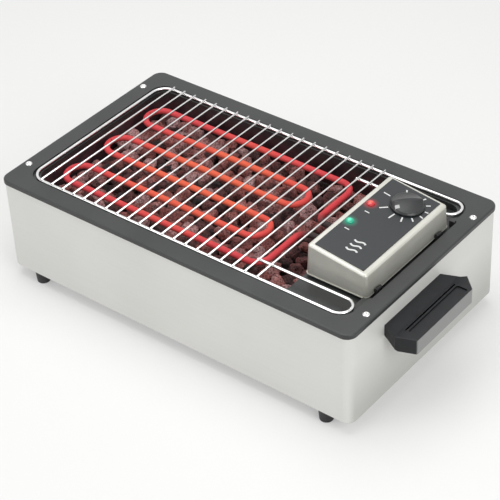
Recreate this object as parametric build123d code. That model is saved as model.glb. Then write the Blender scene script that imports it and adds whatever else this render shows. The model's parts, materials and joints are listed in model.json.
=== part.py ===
from build123d import *
import math
import os

# A table-top lava stone grill, in millimetres.
# Origin: on the floor under the middle of the casing. +X runs to the control box end,
# -Y is the front, +Z is up.

# Driving dimensions
RIM_LENGTH = 535.0          # black rim, outside, along X
RIM_WIDTH = 308.5           # black rim, outside, along Y
RIM_TOP = 149.4             # height of the rim above the floor
LIP_DEPTH = 6.0             # how far the rim folds down over the casing
ENAMEL_SHEET = 1.2          # thickness of the enamelled pan
FOOT_HEIGHT = 18.0
CASING_SHEET = 1.0
LIP_GAP = 0.3               # clearance between the casing and the folded lip
WIRE_RADIUS = 2.0           # frame wire of the cooking grid
CROSS_RADIUS = 1.3          # cross wires of the cooking grid
ELEMENT_RADIUS = 4.0        # tube of the heating element
FIT_GAP = 0.05              # radial clearance of a shaft or screw in its hole

# Casing, worked out from the rim
CASING_X = RIM_LENGTH / 2 - ENAMEL_SHEET - LIP_GAP
CASING_Y = RIM_WIDTH / 2 - ENAMEL_SHEET - LIP_GAP
CASING_TOP = RIM_TOP - ENAMEL_SHEET
CASING_CORNER = 12.0
FLANGE_WIDTH = 18.0         # casing sheet turned in underneath

# Pan
OPENING_X = 243.5
OPENING_Y = 130.5
OPENING_CORNER = 20.0
LEDGE_Z = RIM_TOP - 3.0     # the grid lies on this ledge
WELL_X = 235.5
WELL_Y = 122.5
WELL_CORNER = 17.0
WELL_END = 150.0            # the deep well stops here, short of the control box
FLOOR_Z = RIM_TOP - 52.0
SHELF_Z = RIM_TOP - 12.0    # raised shelf under the control box
POCKET_FRONT = -84.0        # the shelf runs out to a trough beside the control box, for its hinge
POCKET_REAR = 93.0
POCKET_X = 247.0
NOTCH_X = 200.0             # pocket under the control box for the element's ends
NOTCH_Y = 42.0
NOTCH_Z = RIM_TOP - 30.0

# Rim screws, feet
RIM_SCREW_X = 258.0
RIM_SCREW_Y = 110.0
FOOT_X = 224.5
FOOT_Y = 142.0

# Handles, one moulding for both ends
HANDLE_MID_Y = -23.5
HANDLE_LOW = 96.0
HANDLE_TOP = 116.0
HANDLE_DEPTH = 42.0
HANDLE_LENGTH = 135.0
HANDLE_INNER = 51.0         # half length of the finger hollow and the dish
HANDLE_SCREW_SPREAD = 46.0
HANDLE_SCREW_Z = 111.8
HANDLE_DROP = 18.0          # the left handle sits this much lower than the right one

# Control box
BOX_X0 = 151.7
BOX_X1 = 237.4
BOX_MID_Y = 4.5
BOX_Y = 85.0                # half of its length
BOX_Z = RIM_TOP - 7.2       # lower edge of the cover
BOX_LEFT_TOP = RIM_TOP + 33.7
BOX_SHEET = 1.2
BOX_DRAFT = 3.1             # degrees that the walls lean inwards
SLOPE = 7.5                 # degrees that the top falls towards the right end
BASE_SHEET = 0.8

# Inclined face of the control box: u runs down the slope from the left edge, v is Y
FACE_EDGE_X = 153.9
TILT = math.radians(SLOPE)
FACE = Plane(
    origin=(FACE_EDGE_X, 0, BOX_LEFT_TOP),
    x_dir=(math.cos(TILT), 0, -math.sin(TILT)),
    z_dir=(math.sin(TILT), 0, math.cos(TILT)),
)
PLATE_SHEET = 0.8
KNOB_U = 48.4
KNOB_V = 53.4
KNOB_RADIUS = 20.8
POINTER_TURN = 48.0         # degrees from the box's left side, towards the front
RED_LAMP = (14.2, 27.6)
GREEN_LAMP = (13.8, -14.0)
LAMP_RADIUS = 5.0

# Heating element, one tube in six runs
ELEMENT_Z = RIM_TOP - 12.5
RUN_PITCH = 38.4
ELEMENT_LEFT = -220.0
ELEMENT_RIGHT = 64.0
LEG_X = 98.0
LEG_Y = 13.5
LEG_BEND = 15.0
ELEMENT_END_X = 172.0
TERMINAL_X = 180.0          # the terminals turn up into the box here

# Cooking grid
GRID_Z = LEDGE_Z + 0.3 + WIRE_RADIUS
GRID_Y = 127.0
GRID_LEFT = -239.0
GRID_RIGHT = 238.5
GRID_CORNER = 20.0
LOOP_INNER_Y = 98.5
LOOP_START_X = 97.5
CROSS_WIRES = 20
CROSS_FIRST_X = -219.0
CROSS_PITCH = 17.8
CROSS_HALF = 129.5

# Hinge of the control box
HINGE_X = 241.0
HINGE_Z = RIM_TOP - 2.0
HINGE_Y = 62.0
PIN_RADIUS = 1.5

# Lava stones
STONE_COLUMNS = 12
STONE_ROWS = 8
STONE_MARGIN = 6.0          # between the stones and the wall of the well
STONE_TOP = RIM_TOP - 22.5


def block(x0, x1, y0, y1, z0, z1):
    """A plain block between six planes."""
    return Pos(x0, y0, z0) * Box(x1 - x0, y1 - y0, z1 - z0, align=(Align.MIN, Align.MIN, Align.MIN))


def rounded_block(x0, x1, y0, y1, z0, z1, radius):
    """A block with rounded upright edges."""
    outline = Pos((x0 + x1) / 2, (y0 + y1) / 2, z0) * RectangleRounded(x1 - x0, y1 - y0, radius)
    return extrude(outline, z1 - z0)


def rod_z(x, y, z0, z1, radius):
    """An upright rod."""
    return Pos(x, y, z0) * Cylinder(radius, z1 - z0, align=(Align.CENTER, Align.CENTER, Align.MIN))


def rod_x(x0, x1, y, z, radius):
    """A rod along X."""
    return Pos(x0, y, z) * Rot(0, 90, 0) * Cylinder(
        radius, x1 - x0, align=(Align.CENTER, Align.CENTER, Align.MIN))


def rod_y(x, y0, y1, z, radius):
    """A rod along Y."""
    return Pos(x, y0, z) * Rot(-90, 0, 0) * Cylinder(
        radius, y1 - y0, align=(Align.CENTER, Align.CENTER, Align.MIN))


def hexagon_z(x, y, z0, z1, across_flats):
    """An upright hexagon nut blank."""
    outline = Pos(x, y, z0) * RegularPolygon(across_flats / 2, 6, major_radius=False)
    return extrude(outline, z1 - z0)


def four(x, y):
    """The four places that mirror (x, y) about both middle lines."""
    return [(-x, -y), (x, -y), (x, y), (-x, y)]


def on_face(u, v, shape):
    """Puts a shape that is made upright at the origin on the inclined face."""
    return FACE * Pos(u, v, 0) * shape


def face_rod(u, v, low, high, radius):
    """A rod square to the inclined face, between two heights above it."""
    return on_face(u, v, Pos(0, 0, low) * Cylinder(
        radius, high - low, align=(Align.CENTER, Align.CENTER, Align.MIN)))


def lower_edges(solid, z):
    """The edges of a solid that lie at height z."""
    return [e for e in solid.edges() if abs(e.center().Z - z) < 1e-3 and e.bounding_box().size.Z < 1e-3]


def bent_tube(points, bend_radii, tube_radius):
    """A tube along straight runs, with a tangent arc at each inner point."""
    corners = [Vector(*p) for p in points]
    edges = []
    start = corners[0]
    for i in range(1, len(corners) - 1):
        back = (corners[i - 1] - corners[i]).normalized()
        ahead = (corners[i + 1] - corners[i]).normalized()
        half = math.radians(back.get_angle(ahead)) / 2
        reach = bend_radii[i - 1] / math.tan(half)
        first = corners[i] + back * reach
        last = corners[i] + ahead * reach
        centre = corners[i] + (back + ahead).normalized() * (bend_radii[i - 1] / math.sin(half))
        middle = centre + (corners[i] - centre).normalized() * bend_radii[i - 1]
        if (first - start).length > 1e-4:
            edges.append(Line(start, first))
        edges.append(ThreePointArc(first, middle, last))
        start = last
    edges.append(Line(start, corners[-1]))
    path = Wire(edges)
    section = Plane(origin=path @ 0, z_dir=path % 0) * Circle(tube_radius)
    return sweep(section, path=path)


def save(name, *solids):
    """Writes one sub-part, of one or more separate solids, to its own STEP file."""
    kept = []
    for solid in solids:
        kept.extend(solid.solids())
    shape = kept[0] if len(kept) == 1 else Compound(children=kept)
    export_step(shape, os.path.join("parts", name + ".step"))


os.makedirs("parts", exist_ok=True)

# Casing: one wrapped stainless sheet, open above, turned in underneath
casing = rounded_block(-CASING_X, CASING_X, -CASING_Y, CASING_Y, FOOT_HEIGHT, CASING_TOP, CASING_CORNER)
casing -= rounded_block(
    -CASING_X + CASING_SHEET, CASING_X - CASING_SHEET, -CASING_Y + CASING_SHEET,
    CASING_Y - CASING_SHEET, FOOT_HEIGHT + CASING_SHEET, CASING_TOP, CASING_CORNER - CASING_SHEET)
casing -= rounded_block(
    -CASING_X + FLANGE_WIDTH, CASING_X - FLANGE_WIDTH, -CASING_Y + FLANGE_WIDTH,
    CASING_Y - FLANGE_WIDTH, FOOT_HEIGHT, CASING_TOP, 6)
for x, y in four(FOOT_X, FOOT_Y):
    casing -= rod_z(x, y, FOOT_HEIGHT, FOOT_HEIGHT + CASING_SHEET, 2 + FIT_GAP)
for end, drop in ((-1, HANDLE_DROP), (1, 0)):
    for side in (-1, 1):
        casing -= rod_x(
            end * CASING_X - 3, end * CASING_X + 3, HANDLE_MID_Y + side * HANDLE_SCREW_SPREAD,
            HANDLE_SCREW_Z - drop, 2 + FIT_GAP)
save("casing", casing)

# Bottom plate: lies on the casing's turned-in flange, with long air slots
PLATE_Z = FOOT_HEIGHT + CASING_SHEET
SLOT_LENGTH = 400.0
SLOT_WIDTH = 8.0
SLOT_PITCH = 48.0
bottom_plate = rounded_block(
    -CASING_X + 1.4, CASING_X - 1.4, -CASING_Y + 1.4, CASING_Y - 1.4,
    PLATE_Z, PLATE_Z + CASING_SHEET, CASING_CORNER - 1.4)
for x, y in four(FOOT_X, FOOT_Y):
    bottom_plate -= rod_z(x, y, PLATE_Z, PLATE_Z + CASING_SHEET, 2 + FIT_GAP)
for row in range(-2, 3):
    slot = Pos(0, row * SLOT_PITCH, PLATE_Z) * SlotOverall(SLOT_LENGTH, SLOT_WIDTH)
    bottom_plate -= extrude(slot, CASING_SHEET)
save("bottom_plate", bottom_plate)

# Rubber feet, each a tapered block with a deep recess for its screw head
FOOT_RECESS = 8.0
foot_names = ("rubber_foot_front_left", "rubber_foot_front_right", "rubber_foot_rear_right",
              "rubber_foot_rear_left")
screws = []
nuts = []
for name, (x, y) in zip(foot_names, four(FOOT_X, FOOT_Y)):
    foot = Pos(x, y, FOOT_HEIGHT / 2) * Cone(8.5, 10, FOOT_HEIGHT)
    foot = fillet(lower_edges(foot, 0), 1.2)
    foot -= rod_z(x, y, 0, FOOT_RECESS, 4.6)
    foot -= rod_z(x, y, 0, FOOT_HEIGHT, 2 + FIT_GAP)
    save(name, foot)
    screws.append(rod_z(x, y, FOOT_RECESS - 2.6, FOOT_RECESS, 3.9) + rod_z(x, y, FOOT_RECESS - 0.5, 27, 2))
    nut = hexagon_z(x, y, PLATE_Z + CASING_SHEET, PLATE_Z + CASING_SHEET + 3.2, 7)
    nuts.append(nut - rod_z(x, y, PLATE_Z, 30, 2 + FIT_GAP))
save("foot_screws", *screws)
save("foot_nuts", *nuts)


def pan_hollow(grow):
    """The hollow of the pan, grown outwards by the sheet's thickness for its outside."""
    well = rounded_block(
        -WELL_X - grow, WELL_END + grow, -WELL_Y - grow, WELL_Y + grow,
        FLOOR_Z - grow, RIM_TOP, WELL_CORNER + grow)
    well = fillet(lower_edges(well, FLOOR_Z - grow), 6 + grow)
    shelf = rounded_block(
        WELL_END - 60, WELL_X + grow, -WELL_Y - grow, WELL_Y + grow,
        SHELF_Z - grow, RIM_TOP, WELL_CORNER + grow)
    opening = rounded_block(
        -OPENING_X - grow, OPENING_X + grow, -OPENING_Y - grow, OPENING_Y + grow,
        LEDGE_Z - grow, RIM_TOP, OPENING_CORNER + grow)
    hinge_pocket = rounded_block(
        WELL_X - 30, POCKET_X + grow, POCKET_FRONT - grow, POCKET_REAR + grow,
        SHELF_Z - grow, RIM_TOP, 3 + grow)
    notch = rounded_block(
        WELL_END - 60, NOTCH_X + grow, -NOTCH_Y - grow, NOTCH_Y + grow,
        NOTCH_Z - grow, RIM_TOP, 6 + grow)
    return well + shelf + opening + hinge_pocket + notch


# Pan: one enamelled pressing with a flat rim, a folded lip, a ledge, a deep well and a shelf
rim = rounded_block(
    -RIM_LENGTH / 2, RIM_LENGTH / 2, -RIM_WIDTH / 2, RIM_WIDTH / 2,
    RIM_TOP - LIP_DEPTH, RIM_TOP, CASING_CORNER + LIP_GAP + ENAMEL_SHEET)
rim = fillet(lower_edges(rim, RIM_TOP), 2.0)
rim -= rounded_block(
    -RIM_LENGTH / 2 + ENAMEL_SHEET, RIM_LENGTH / 2 - ENAMEL_SHEET,
    -RIM_WIDTH / 2 + ENAMEL_SHEET, RIM_WIDTH / 2 - ENAMEL_SHEET,
    RIM_TOP - LIP_DEPTH, CASING_TOP, CASING_CORNER + LIP_GAP)
pan = rim + pan_hollow(ENAMEL_SHEET)
pan -= pan_hollow(0)
for x, y in four(RIM_SCREW_X, RIM_SCREW_Y):
    pan -= rod_z(x, y, CASING_TOP, RIM_TOP, 2 + FIT_GAP)
save("enamelled_pan", pan)

# Heat shield: a folded sheet bridge between the pan and the bottom plate
SHIELD_X = 205.0
SHIELD_Y = 112.0
SHIELD_TOP = 78.0
SHIELD_SHEET = 0.8
heat_shield = block(-SHIELD_X, SHIELD_X, -SHIELD_Y, SHIELD_Y, PLATE_Z + CASING_SHEET, SHIELD_TOP)
heat_shield -= block(
    -SHIELD_X, SHIELD_X, -SHIELD_Y + SHIELD_SHEET, SHIELD_Y - SHIELD_SHEET,
    PLATE_Z + CASING_SHEET, SHIELD_TOP - SHIELD_SHEET)
for side in (-1, 1):
    flange_mid = side * (SHIELD_Y + 6)
    heat_shield += block(
        -SHIELD_X, SHIELD_X, flange_mid - 7, flange_mid + 7,
        PLATE_Z + CASING_SHEET, PLATE_Z + CASING_SHEET + SHIELD_SHEET)
save("heat_shield", heat_shield)

# Rim screws with domed heads, and the angle brackets and nuts that they draw down to
screws = []
brackets = []
nuts = []
BRACKET_SHEET = 1.5
for x, y in four(RIM_SCREW_X, RIM_SCREW_Y):
    end = math.copysign(1, x)
    dome = Pos(x, y, RIM_TOP) * scale(Sphere(4.5), by=(1, 1, 0.62))
    dome &= block(x - 6, x + 6, y - 6, y + 6, RIM_TOP, RIM_TOP + 6)
    screws.append(dome + rod_z(x, y, RIM_TOP - 12, RIM_TOP + 0.5, 2))
    wall = end * (CASING_X - CASING_SHEET)
    inner = end * 250.0
    tab = block(min(wall, inner), max(wall, inner), y - 8, y + 8, CASING_TOP - BRACKET_SHEET, CASING_TOP)
    leg = block(
        min(wall, wall - end * BRACKET_SHEET), max(wall, wall - end * BRACKET_SHEET),
        y - 8, y + 8, CASING_TOP - 16, CASING_TOP)
    brackets.append(tab + leg - rod_z(x, y, CASING_TOP - 16, CASING_TOP, 2 + FIT_GAP))
    nut = hexagon_z(x, y, CASING_TOP - BRACKET_SHEET - 3.2, CASING_TOP - BRACKET_SHEET, 7)
    nuts.append(nut - rod_z(x, y, CASING_TOP - 16, CASING_TOP, 2 + FIT_GAP))
save("rim_screws", *screws)
save("rim_brackets", *brackets)
save("rim_nuts", *nuts)


def carry_handle():
    """The right handle: a moulded grip with a dished top, hollow underneath for the fingers."""
    wall = CASING_X
    edge = wall + HANDLE_DEPTH
    front = HANDLE_MID_Y - HANDLE_LENGTH / 2
    rear = HANDLE_MID_Y + HANDLE_LENGTH / 2
    outline = Polyline(
        (wall, front + 5), (wall + 18, front), (edge, front + 9), (edge, rear - 12),
        (wall + 24, rear + 5), (wall, rear - 16), close=True)
    profile = Polyline(
        (wall, HANDLE_LOW + 11), (wall, HANDLE_TOP + 5.6), (wall + 16, HANDLE_TOP), (edge, HANDLE_TOP),
        (edge, HANDLE_LOW), (wall + 21, HANDLE_LOW), close=True)
    handle = extrude(Pos(0, 0, HANDLE_LOW - 10) * make_face(outline), 60)
    handle &= extrude(Plane.XZ * make_face(profile), 200, both=True)
    outer_upright = [e for e in handle.edges().filter_by(Axis.Z) if abs(e.center().X - edge) < 1e-3]
    handle = fillet(outer_upright, 3)
    top_edges = [e for e in lower_edges(handle, HANDLE_TOP) if e.center().X > wall + 17]
    handle = fillet(top_edges, 1.2)
    y0, y1 = HANDLE_MID_Y - HANDLE_INNER, HANDLE_MID_Y + HANDLE_INNER
    dish = rounded_block(wall + 24, edge - 3, y0, y1, HANDLE_TOP - 1.6, HANDLE_TOP, 3)
    groove = rounded_block(wall + 19.5, wall + 21.7, y0, y1, HANDLE_TOP - 2.6, HANDLE_TOP, 1)
    fingers = rounded_block(wall + 5, edge - 4, y0, y1, HANDLE_LOW, HANDLE_TOP - 4.6, 4)
    handle = handle - dish - groove - fingers
    for side in (-1, 1):
        y = HANDLE_MID_Y + side * HANDLE_SCREW_SPREAD
        handle += rod_x(wall, wall + 12, y, HANDLE_SCREW_Z, 5.2)
        handle -= rod_x(wall, wall + 10.5, y, HANDLE_SCREW_Z, 2 + FIT_GAP)
    return handle


def on_left_wall(shape):
    """A piece of the right handle, turned round for the left one."""
    return Pos(0, 0, -HANDLE_DROP) * mirror(shape, about=Plane.YZ)


handle_right = carry_handle()
save("handle_right", handle_right)
save("handle_left", on_left_wall(handle_right))
screws = []
for side in (-1, 1):
    y = HANDLE_MID_Y + side * HANDLE_SCREW_SPREAD
    inner = CASING_X - CASING_SHEET
    screw = rod_x(inner - 2.5, inner, y, HANDLE_SCREW_Z, 4)
    screw += rod_x(inner - 1, inner + 10, y, HANDLE_SCREW_Z, 2)
    screws.append(screw)
    screws.append(on_left_wall(screw))
save("handle_screws", *screws)


def lava_stone(column, row):
    """One broken stone: a block cut by slanted planes that differ from stone to stone."""
    step_x = (WELL_END + WELL_X - 2 * STONE_MARGIN) / STONE_COLUMNS
    step_y = (2 * WELL_Y - 2 * STONE_MARGIN) / STONE_ROWS
    seed = column * 37 + row * 101 + 13
    x = -WELL_X + STONE_MARGIN + (column + 0.5) * step_x + (seed * 19 % 5 - 2) * 0.3
    y = -WELL_Y + STONE_MARGIN + (row + 0.5) * step_y + (seed * 23 % 5 - 2) * 0.3
    width = step_x - 1.6 - (seed * 7 % 5) * 0.5
    depth = step_y - 1.6 - (seed * 11 % 6) * 0.5
    height = STONE_TOP - FLOOR_Z - (seed * 13 % 7) * 0.9
    stone = Box(width, depth, height, align=(Align.CENTER, Align.CENTER, Align.MIN))
    for corner in range(8):
        turn = corner % 4 * 90 + 45 + (seed * (corner + 3) * 17 % 40 - 20)
        upper = corner < 4
        lean = 38 + seed * (corner + 5) * 7 % 24
        if not upper:
            lean = 180 - lean
        away = 12.6 + (seed * (corner + 2) * 5 % 9) * 0.35
        cut = Rot(0, 0, turn) * Rot(0, lean, 0) * Pos(0, 0, away) * Box(
            80, 80, 30, align=(Align.CENTER, Align.CENTER, Align.MIN))
        stone -= Pos(0, 0, height / 2) * cut
    return Pos(x, y, FLOOR_Z) * stone


# Lava stones: one loose layer on the floor of the well, clear of its rounded bottom edges
stones = []
for column in range(STONE_COLUMNS):
    for row in range(STONE_ROWS):
        stones.append(lava_stone(column, row))
save("lava_stones", *stones)


def box_form(inset):
    """The outer form of the control box, or of its hollow when inset by the sheet's thickness."""
    middle = ((BOX_X0 + BOX_X1) / 2, BOX_MID_Y, BOX_Z)
    outline = Pos(*middle) * RectangleRounded(
        BOX_X1 - BOX_X0 - 2 * inset, 2 * BOX_Y - 2 * inset, 6 - inset)
    form = extrude(outline, 60, taper=BOX_DRAFT)
    return form - FACE * Pos(40, 0, -inset) * Box(
        300, 300, 100, align=(Align.CENTER, Align.CENTER, Align.MIN))


# Control box cover: a stainless hood with leaning walls and an inclined top
cover = box_form(0)
top_face = cover.faces().sort_by(Axis.Z)[-1]
cover = fillet(top_face.edges(), 3.0)
cover -= box_form(BOX_SHEET)
cover -= face_rod(KNOB_U, KNOB_V, -3, 1, 5)
for u, v in (RED_LAMP, GREEN_LAMP):
    cover -= face_rod(u, v, -3, 1, LAMP_RADIUS + FIT_GAP)
REGULATOR_SCREW_V = 14.0
for side in (-1, 1):
    cover -= face_rod(KNOB_U, KNOB_V + side * REGULATOR_SCREW_V, -3, 1, 1.5 + FIT_GAP)
    cover -= face_rod(KNOB_U, KNOB_V + side * REGULATOR_SCREW_V, -0.7, 1, 3.1)
GLAND_X = 185.0
GLAND_Z = RIM_TOP + 6.0
GLAND_Y = BOX_MID_Y + BOX_Y
cover -= rod_y(GLAND_X, GLAND_Y - 14, GLAND_Y + 6, GLAND_Z, 7.2)
COVER_SCREWS = (
    (BOX_X0 + 4.5, -60.0), (BOX_X0 + 4.5, 60.0), (BOX_X1 - 4.5, -40.0), (BOX_X1 - 4.5, 40.0))
for x, y in COVER_SCREWS:
    cover += rod_z(x, y, BOX_Z, BOX_Z + 12, 3.6)
    cover -= rod_z(x, y, BOX_Z, BOX_Z + 10, 1.5 + FIT_GAP)
save("control_box_cover", cover)

# Control box base: a flat sheet that closes the cover from below, with its edge just showing
BASE_Z = BOX_Z - BASE_SHEET
base = rounded_block(
    BOX_X0 - 0.8, BOX_X1 + 0.4, BOX_MID_Y - BOX_Y - 0.8, BOX_MID_Y + BOX_Y + 0.8, BASE_Z, BOX_Z, 6.8)
for side in (-1, 1):
    base -= rod_z(TERMINAL_X, side * LEG_Y, BASE_Z, BOX_Z, 4)
for x, y in COVER_SCREWS:
    base -= rod_z(x, y, BASE_Z, BOX_Z, 1.5 + FIT_GAP)
save("control_box_base", base)
screws = []
for x, y in COVER_SCREWS:
    screws.append(rod_z(x, y, BASE_Z - 1.6, BASE_Z, 2.8) + rod_z(x, y, BASE_Z - 0.5, BOX_Z + 9, 1.5))
save("cover_screws", *screws)

# Rest pads: two heat-proof buttons under the box that stand on the pan's shelf
PAD_X = 176.0
PAD_Y = 70.0
PAD_RADIUS = 6.0
pads = []
for side in (-1, 1):
    pads.append(rod_z(PAD_X, side * PAD_Y, SHELF_Z, BASE_Z, PAD_RADIUS))
save("rest_pads", *pads)

# Face plate: a thin dark sheet on the inclined top, with sharp corners
PLATE_U = 41.2
PLATE_V = 5.0
PLATE_LENGTH_U = 68.0
PLATE_LENGTH_V = 156.0
plate = on_face(
    PLATE_U, PLATE_V, Pos(0, 0, PLATE_SHEET / 2) * Box(PLATE_LENGTH_U, PLATE_LENGTH_V, PLATE_SHEET))
plate -= face_rod(KNOB_U, KNOB_V, -1, 2, 4)
for u, v in (RED_LAMP, GREEN_LAMP):
    plate -= face_rod(u, v, -1, 2, LAMP_RADIUS + FIT_GAP)
save("face_plate", plate)

# Lamps: a coloured lens through the plate, in a black body behind it
for name, (u, v) in (("red_lamp", RED_LAMP), ("green_lamp", GREEN_LAMP)):
    dome = Pos(0, 0, 1.4) * scale(Sphere(LAMP_RADIUS), by=(1, 1, 0.45))
    dome &= Pos(0, 0, 1.4) * Box(12, 12, 8, align=(Align.CENTER, Align.CENTER, Align.MIN))
    lens = on_face(u, v, dome) + face_rod(u, v, -2, 1.5, LAMP_RADIUS)
    save(name + "_lens", lens)
    body = face_rod(u, v, -20, -2, 5.8)
    body += face_rod(u, v, -3.4, -BOX_SHEET, 7.0) - face_rod(u, v, -2, 0, LAMP_RADIUS + FIT_GAP)
    save(name + "_body", body)

# Energy regulator behind the knob, with its two screws and its round shaft
REGULATOR_HEIGHT = 19.0
regulator = on_face(KNOB_U, KNOB_V, Pos(0, 0, -BOX_SHEET - REGULATOR_HEIGHT / 2) * Box(
    36, 40, REGULATOR_HEIGHT))
regulator -= face_rod(KNOB_U, KNOB_V, -12, 0, 3 + FIT_GAP)
for side in (-1, 1):
    regulator -= face_rod(KNOB_U, KNOB_V + side * REGULATOR_SCREW_V, -10, 0, 1.5 + FIT_GAP)
save("energy_regulator", regulator)
screws = []
for side in (-1, 1):
    v = KNOB_V + side * REGULATOR_SCREW_V
    screws.append(face_rod(KNOB_U, v, -0.7, 0, 3) + face_rod(KNOB_U, v, -9, -0.3, 1.5))
save("regulator_screws", *screws)
KNOB_LOW = PLATE_SHEET + 0.6
shaft = face_rod(KNOB_U, KNOB_V, -11, 8, 3)
save("regulator_shaft", shaft)

# Knob: a round skirt with a lens-shaped bar across it
SKIRT_HEIGHT = 5.1
BAR_TOP = 10.6
BAR_HALF_LENGTH = 18.6
BAR_HALF_WIDTH = 6.5
skirt = Pos(0, 0, KNOB_LOW) * Cylinder(
    KNOB_RADIUS, SKIRT_HEIGHT, align=(Align.CENTER, Align.CENTER, Align.MIN))
skirt = chamfer(skirt.edges().group_by(Axis.Z)[-1], 1.4)
lens_outline = make_face([
    ThreePointArc((-BAR_HALF_LENGTH, 0), (0, BAR_HALF_WIDTH), (BAR_HALF_LENGTH, 0)),
    ThreePointArc((BAR_HALF_LENGTH, 0), (0, -BAR_HALF_WIDTH), (-BAR_HALF_LENGTH, 0)),
])
bar = extrude(Pos(0, 0, KNOB_LOW + 2) * lens_outline, BAR_TOP - KNOB_LOW - 2)
bar = fillet(bar.edges().group_by(Axis.Z)[-1], 1.2)
pointer_slot = Pos(-11.8, 0, BAR_TOP - 0.6) * Box(
    6.4, 1.6, 0.6, align=(Align.CENTER, Align.CENTER, Align.MIN))
knob = skirt + bar
knob -= Cylinder(3 + FIT_GAP, 8.2, align=(Align.CENTER, Align.CENTER, Align.MIN))
knob -= pointer_slot
save("thermostat_knob", on_face(KNOB_U, KNOB_V, Rot(0, 0, POINTER_TURN) * knob))
save("knob_pointer", on_face(KNOB_U, KNOB_V, Rot(0, 0, POINTER_TURN) * pointer_slot))

# Heating element: one tube in six runs, with both ends under the control box
run = RUN_PITCH / 2
element_points = [
    (ELEMENT_END_X, LEG_Y), (LEG_X, LEG_Y), (LEG_X, 5 * run), (ELEMENT_LEFT, 5 * run),
    (ELEMENT_LEFT, 3 * run), (ELEMENT_RIGHT, 3 * run), (ELEMENT_RIGHT, run),
    (ELEMENT_LEFT, run), (ELEMENT_LEFT, -run), (ELEMENT_RIGHT, -run), (ELEMENT_RIGHT, -3 * run),
    (ELEMENT_LEFT, -3 * run), (ELEMENT_LEFT, -5 * run), (LEG_X, -5 * run), (LEG_X, -LEG_Y),
    (ELEMENT_END_X, -LEG_Y),
]
bends = [LEG_BEND] + [run] * (len(element_points) - 4) + [LEG_BEND]
element = bent_tube([(x, y, ELEMENT_Z) for x, y in element_points], bends, ELEMENT_RADIUS)
save("heating_element", element)

# Element bracket: an angle under the box's left edge, its upright plate bored for the tube ends
BRACKET_X = BOX_X0 - 0.8
bracket = block(BRACKET_X, BRACKET_X + 2, -34, 34, BASE_Z - 16, BASE_Z)
for y0, y1 in ((-34, -22), (-7, 7), (22, 34)):
    bracket += block(BRACKET_X + 1, BRACKET_X + 16, y0, y1, BASE_Z - 1.2, BASE_Z)
nuts = []
for side in (-1, 1):
    bracket -= rod_x(BRACKET_X, BRACKET_X + 2, side * LEG_Y, ELEMENT_Z, ELEMENT_RADIUS + FIT_GAP)
    nut = Pos(BRACKET_X - 6, side * LEG_Y, ELEMENT_Z) * Rot(0, 90, 0) * extrude(
        RegularPolygon(6.5, 6, major_radius=False), 6)
    nuts.append(nut - rod_x(BRACKET_X - 7, BRACKET_X, side * LEG_Y, ELEMENT_Z, ELEMENT_RADIUS + FIT_GAP))
save("element_bracket", bracket)
save("element_gland_nuts", *nuts)

# Element terminals: a threaded pin at each end of the tube, turned up into the box
pins = []
for side in (-1, 1):
    pins.append(bent_tube(
        [(ELEMENT_END_X, side * LEG_Y, ELEMENT_Z), (TERMINAL_X, side * LEG_Y, ELEMENT_Z),
         (TERMINAL_X, side * LEG_Y, BOX_Z + 9)], [4], 1.5))
save("element_terminals", *pins)

# Terminal block: a ceramic strip on the base, bored for the wires
terminal_block = block(200, 216, -34, 10, BOX_Z, BOX_Z + 12)
for step in range(4):
    y = -28.5 + step * 11
    terminal_block -= rod_x(200, 216, y, BOX_Z + 6, 2.2)
    terminal_block -= rod_z(208, y, BOX_Z + 6, BOX_Z + 12, 2.2)
save("terminal_block", terminal_block)

# Cord gland through the box's rear wall, and the nut that holds it
GLAND_BORE = 4.0
gland = rod_y(GLAND_X, GLAND_Y - 11, GLAND_Y + 1, GLAND_Z, 7)
gland += rod_y(GLAND_X, GLAND_Y, GLAND_Y + 3, GLAND_Z, 9.5)
nose = Pos(GLAND_X, GLAND_Y + 4.7, GLAND_Z) * Rot(-90, 0, 0) * Cone(8, 6.8, 3.4)
gland += nose
gland -= rod_y(GLAND_X, GLAND_Y - 14, GLAND_Y + 12, GLAND_Z, GLAND_BORE)
save("cord_gland", gland)
gland_nut = Pos(GLAND_X, GLAND_Y - 7.5, GLAND_Z) * Rot(-90, 0, 0) * extrude(
    RegularPolygon(9, 6, major_radius=False), 4)
gland_nut -= rod_y(GLAND_X, GLAND_Y - 14, GLAND_Y + 6, GLAND_Z, 7 + FIT_GAP)
save("gland_nut", gland_nut)

# Hinge: forked brackets on the pan's shelf, arms under the box, and a pin through each pair
LUG_HALF = 2.2
ARM_HALF = 2.5
LUG_GAP = 0.4
LUG_SHEET = 2.0
brackets = []
arms = []
pins = []
for side in (-1, 1):
    y = side * HINGE_Y
    outer = ARM_HALF + LUG_GAP + LUG_SHEET
    fork = block(HINGE_X - LUG_HALF, HINGE_X + LUG_HALF, y - outer, y + outer, SHELF_Z, HINGE_Z)
    fork += rod_y(HINGE_X, y - outer, y + outer, HINGE_Z, LUG_HALF)
    fork -= block(
        HINGE_X - 5, HINGE_X + 5, y - ARM_HALF - LUG_GAP, y + ARM_HALF + LUG_GAP,
        SHELF_Z + 1.2, HINGE_Z + 5)
    fork -= rod_y(HINGE_X, y - outer, y + outer, HINGE_Z, PIN_RADIUS)
    brackets.append(fork)
    pins.append(rod_y(HINGE_X, y - outer, y + outer, HINGE_Z, PIN_RADIUS))
    arm = block(222, HINGE_X + LUG_HALF, y - ARM_HALF, y + ARM_HALF, BASE_Z - 1.5, BASE_Z)
    arm += block(
        HINGE_X - LUG_HALF, HINGE_X + LUG_HALF, y - ARM_HALF, y + ARM_HALF, BASE_Z - 1.5, HINGE_Z)
    arm += rod_y(HINGE_X, y - ARM_HALF, y + ARM_HALF, HINGE_Z, LUG_HALF)
    arms.append(arm - rod_y(HINGE_X, y - ARM_HALF, y + ARM_HALF, HINGE_Z, PIN_RADIUS + FIT_GAP))
save("hinge_brackets", *brackets)
save("hinge_arms", *arms)
save("hinge_pins", *pins)


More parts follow.
